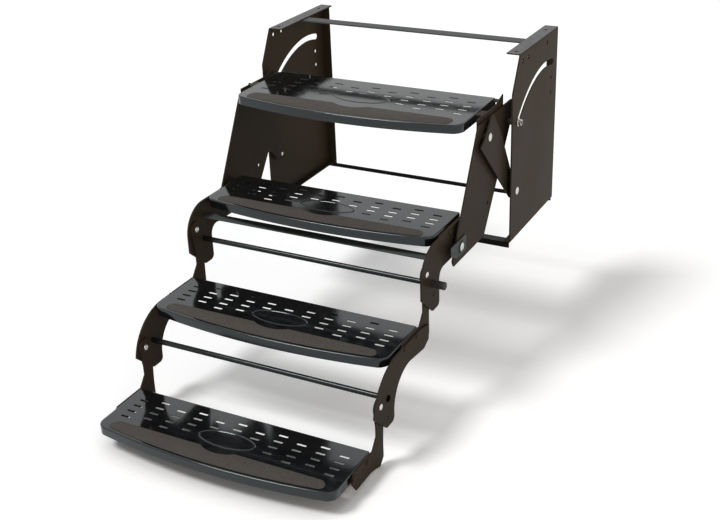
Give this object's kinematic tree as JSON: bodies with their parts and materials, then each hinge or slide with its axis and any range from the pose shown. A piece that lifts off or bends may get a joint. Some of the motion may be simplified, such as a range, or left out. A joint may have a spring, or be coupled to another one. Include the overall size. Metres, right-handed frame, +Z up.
{
  "type": "fold-out entry step",
  "caption": "Manual fold-out entry step for a caravan: bowed pressed treads on folding side arms that swing out of an open housing bolted under the floor.",
  "frame": {"origin": "middle of the floor bolts, on the top faces of the housing flanges", "axes": "+X to the right seen from the front, +Y towards the vehicle, +Z up"},
  "size_m": [0.723, 1.1959, 0.73],
  "materials": {
    "housing_paint": "semi-gloss black coat with a warm cast",
    "frame_paint": "semi-gloss black coat",
    "tread_enamel": "gloss black enamel over pressed sheet",
    "bar_enamel": "gloss black enamel",
    "grip_film": "gritty brown-grey anti-slip film",
    "rivet_steel": "bright zinc plate",
    "dark_steel": "dark phosphated steel",
    "hinge_zinc": "dull zinc plate with a green cast",
    "bush_nylon": "black nylon",
    "rod_rubber": "black rubber sleeve"
  },
  "bodies": {
    "housing": {"side_plate_left": "housing_paint", "side_plate_right": "housing_paint", "top_brace": "bar_enamel", "front_angle": "bar_enamel", "rear_bar": "bar_enamel", "link_pivots": "rivet_steel", "link_bushes": "bush_nylon"},
    "links": {"link_left": "frame_paint", "link_right": "frame_paint"},
    "upper_step": {"tread_1": "tread_enamel", "grip_strip_1": "grip_film", "tread_bracket_left": "frame_paint", "tread_bracket_right": "frame_paint", "riser_left": "frame_paint", "riser_right": "frame_paint", "bracket_rivets": "frame_paint", "crank_pins": "rivet_steel", "guide_pins": "dark_steel", "guide_nuts": "rivet_steel", "hinge_plate_left": "hinge_zinc", "hinge_plate_right": "hinge_zinc", "hinge_pins_2": "rivet_steel"},
    "second_step": {"tread_2": "tread_enamel", "grip_strip_2": "grip_film", "arm_2_left": "frame_paint", "arm_2_right": "frame_paint", "rivets_2": "frame_paint", "cross_bar_2": "bar_enamel", "stop_rod_2": "bar_enamel", "rod_grip": "rod_rubber", "hinge_pins_3": "rivet_steel"},
    "third_step": {"tread_3": "tread_enamel", "grip_strip_3": "grip_film", "leg_3_left": "frame_paint", "leg_3_right": "frame_paint", "arm_3_left": "frame_paint", "arm_3_right": "frame_paint", "rivets_3": "frame_paint", "tie_rod_3": "bar_enamel", "hinge_pins_4": "rivet_steel"},
    "fourth_step": {"tread_4": "tread_enamel", "grip_strip_4": "grip_film", "leg_4_left": "frame_paint", "leg_4_right": "frame_paint", "rivets_4": "frame_paint"}
  },
  "joints": [
    {"name": "link_swing", "type": "hinge", "parent": "housing", "child": "links", "pos_m": [0, -0.131, -0.347], "axis": [-1, 0, 0], "range_deg": [0, 63]},
    {"name": "upper_tilt", "type": "hinge", "parent": "links", "child": "upper_step", "pos_m": [0, -0.282, -0.157], "axis": [1, 0, 0], "range_deg": [0, 83.8]},
    {"name": "second_level", "type": "hinge", "parent": "upper_step", "child": "second_step", "pos_m": [0, -0.427, -0.376], "axis": [-1, 0, 0], "range_deg": [0, 20.8]},
    {"name": "third_fold", "type": "hinge", "parent": "second_step", "child": "third_step", "pos_m": [0, -0.584, -0.379], "axis": [-1, 0, 0], "range_deg": [0, 180]},
    {"name": "fourth_fold", "type": "hinge", "parent": "third_step", "child": "fourth_step", "pos_m": [0, -0.823, -0.579], "axis": [-1, 0, 0], "range_deg": [0, 180]}
  ],
  "couplings": [
    {"joint": "upper_tilt", "follows": "link_swing", "ratio": 1.33},
    {"joint": "second_level", "follows": "link_swing", "ratio": 0.33}
  ]
}
